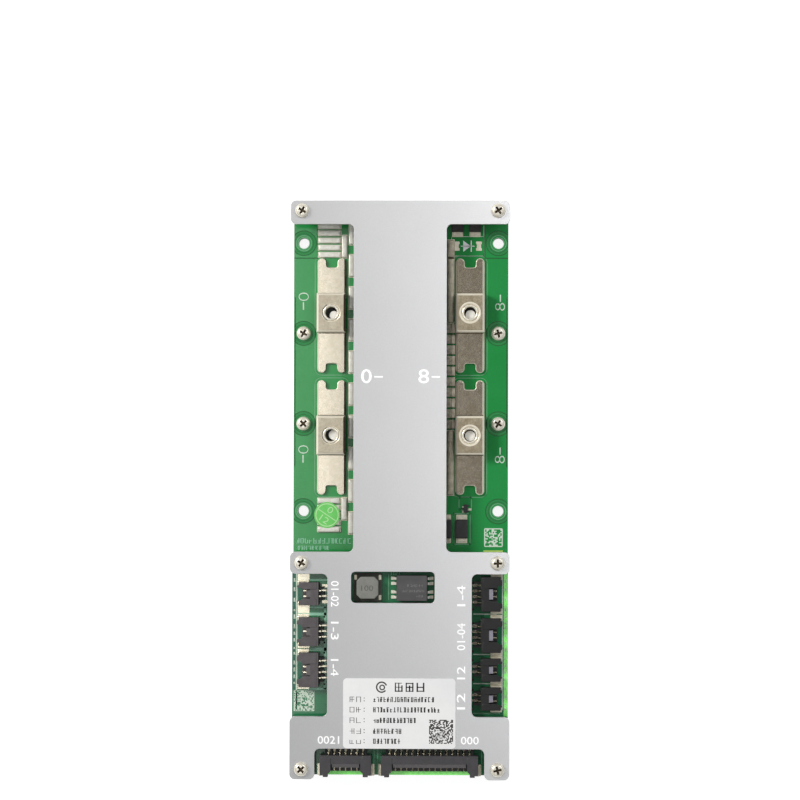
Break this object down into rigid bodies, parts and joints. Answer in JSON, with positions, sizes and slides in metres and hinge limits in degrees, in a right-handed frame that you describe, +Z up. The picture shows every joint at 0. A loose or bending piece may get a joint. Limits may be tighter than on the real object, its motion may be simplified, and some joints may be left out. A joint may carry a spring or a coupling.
{
  "type": "battery management board",
  "caption": "Power board on an aluminium base plate with strap terminals, a stacked control board with latching headers, and a cut-out cover.",
  "frame": {"origin": "centre of the base plate's underside", "axes": "+X across the board to the right column of terminals, +Y along it towards the terminal end, +Z up from the base plate to the cover"},
  "size_m": [0.077, 0.203, 0.0189],
  "materials": {
    "anodised_aluminium": "fine sandblasted and clear anodised",
    "plain_aluminium": "brushed mill finish",
    "solder_mask_green": "green solder mask over FR-4",
    "tinned_copper": "dull tin plate over copper",
    "solder_bright": "bright solder coat",
    "nickel_steel": "nickel plated steel",
    "brass": "turned brass",
    "black_nylon": "glass-filled nylon, moulded",
    "black_epoxy": "moulded epoxy",
    "grey_ferrite": "fine ground ferrite",
    "silicone_pad": "soft silicone",
    "white_film": "satin white polyester film",
    "green_film": "printed green film"
  },
  "bodies": {
    "root": {"base_plate": "plain_aluminium", "insulating_sheet": "silicone_pad", "power_board": "solder_mask_green", "control_board": "solder_mask_green", "top_cover": "anodised_aluminium", "left_terminal_upper": "tinned_copper", "left_terminal_lower": "tinned_copper", "right_terminal_upper": "tinned_copper", "right_terminal_lower": "tinned_copper", "terminal_nuts": "nickel_steel", "web_bars": "solder_bright", "upper_ladder_bars": "solder_bright", "lower_ladder_bars": "solder_bright", "shunt_side_bars": "solder_bright", "shunt_resistors": "black_epoxy", "shunt_end_caps": "solder_bright", "transistor_bodies": "black_epoxy", "transistor_leads": "solder_bright", "gap_pads": "silicone_pad", "diode_bodies": "black_epoxy", "diode_terminals": "solder_bright", "small_transistor": "black_epoxy", "inductor_core": "grey_ferrite", "inductor_base": "grey_ferrite", "module_body": "black_epoxy", "module_leads": "solder_bright", "control_chips": "black_epoxy", "control_chip_leads": "solder_bright", "balance_resistors": "black_epoxy", "board_link": "black_nylon", "board_link_contacts": "brass", "port_tabs": "solder_bright", "board_spacers": "brass", "cover_spacers": "brass", "end_spacers": "brass", "cover_screws": "nickel_steel", "board_screws": "nickel_steel", "rating_label": "white_film", "inspection_seal": "green_film", "left_port_1_housing": "black_nylon", "left_port_1_pins": "solder_bright", "left_port_2_housing": "black_nylon", "left_port_2_pins": "solder_bright", "left_port_3_housing": "black_nylon", "left_port_3_pins": "solder_bright", "right_port_1_housing": "black_nylon", "right_port_1_pins": "solder_bright", "right_port_2_housing": "black_nylon", "right_port_2_pins": "solder_bright", "right_port_3_housing": "black_nylon", "right_port_3_pins": "solder_bright", "right_port_4_housing": "black_nylon", "right_port_4_pins": "solder_bright", "lower_port_1_housing": "black_nylon", "lower_port_1_pins": "solder_bright", "lower_port_2_housing": "black_nylon", "lower_port_2_pins": "solder_bright"}
  },
  "joints": []
}
